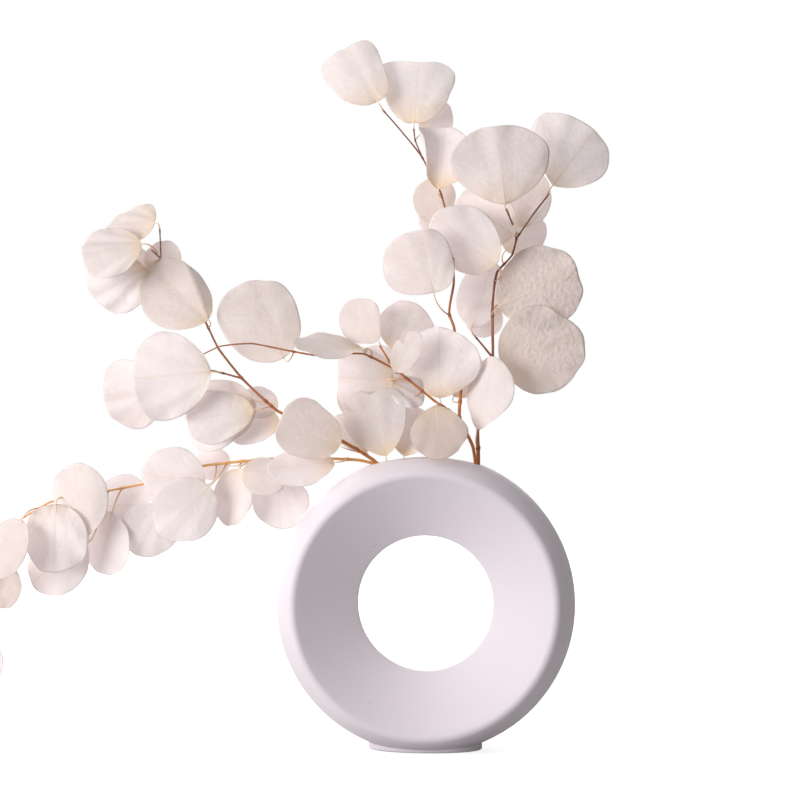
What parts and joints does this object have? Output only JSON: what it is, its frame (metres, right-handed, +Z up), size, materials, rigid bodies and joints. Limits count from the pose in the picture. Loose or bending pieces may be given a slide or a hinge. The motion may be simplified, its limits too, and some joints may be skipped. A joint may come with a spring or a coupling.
{
  "type": "ring vase with dried eucalyptus branches",
  "caption": "Matte ceramic ring vase with a round hole through it, a flat oval foot and an oval mouth on top, holding dried silver-dollar eucalyptus branches that fan out and trail to one side",
  "frame": {"origin": "centre of the foot's flat underside, on the surface the vase stands on", "axes": "+Z up; +X to the right of the ring's front face; the hole runs along Y, from the front face at -Y to the back one at +Y"},
  "size_m": [0.4758, 0.0754, 0.476],
  "materials": {
    "ceramic": "matte, faintly pink white, unglazed",
    "stem": "dry bark, orange to dark brown",
    "leaf": "bleached dry leaf, papery, slightly translucent"
  },
  "bodies": {
    "root": {"ring_vase": "ceramic", "branch_right": "stem", "branch_centre": "stem", "branch_left": "stem", "branch_low": "stem", "leaf_crown_1": "leaf", "leaf_crown_2": "leaf", "leaf_crown_3": "leaf", "leaf_centre_1": "leaf", "leaf_centre_2": "leaf", "leaf_centre_3": "leaf", "leaf_right_1": "leaf", "leaf_right_2": "leaf", "leaf_right_3": "leaf", "leaf_right_4": "leaf", "leaf_right_5": "leaf", "leaf_right_6": "leaf", "leaf_right_7": "leaf", "leaf_right_8": "leaf", "leaf_right_9": "leaf", "leaf_right_10": "leaf", "leaf_arch_1": "leaf", "leaf_arch_2": "leaf", "leaf_arch_3": "leaf", "leaf_arch_4": "leaf", "leaf_arch_5": "leaf", "leaf_arch_6": "leaf", "leaf_arch_7": "leaf", "leaf_arch_8": "leaf", "leaf_arch_9": "leaf", "leaf_left_1": "leaf", "leaf_left_2": "leaf", "leaf_left_3": "leaf", "leaf_left_4": "leaf", "leaf_left_5": "leaf", "leaf_left_6": "leaf", "leaf_left_7": "leaf", "leaf_left_8": "leaf", "leaf_left_9": "leaf", "leaf_left_10": "leaf", "leaf_left_11": "leaf", "leaf_left_12": "leaf", "leaf_left_13": "leaf", "leaf_low_1": "leaf", "leaf_low_2": "leaf", "leaf_low_3": "leaf", "leaf_low_4": "leaf", "leaf_low_5": "leaf", "leaf_low_6": "leaf", "leaf_low_7": "leaf", "leaf_low_8": "leaf", "leaf_low_9": "leaf", "leaf_low_10": "leaf", "leaf_low_11": "leaf", "leaf_low_12": "leaf", "leaf_low_13": "leaf", "leaf_low_14": "leaf", "leaf_low_15": "leaf", "leaf_low_16": "leaf", "leaf_low_17": "leaf"}
  },
  "joints": []
}
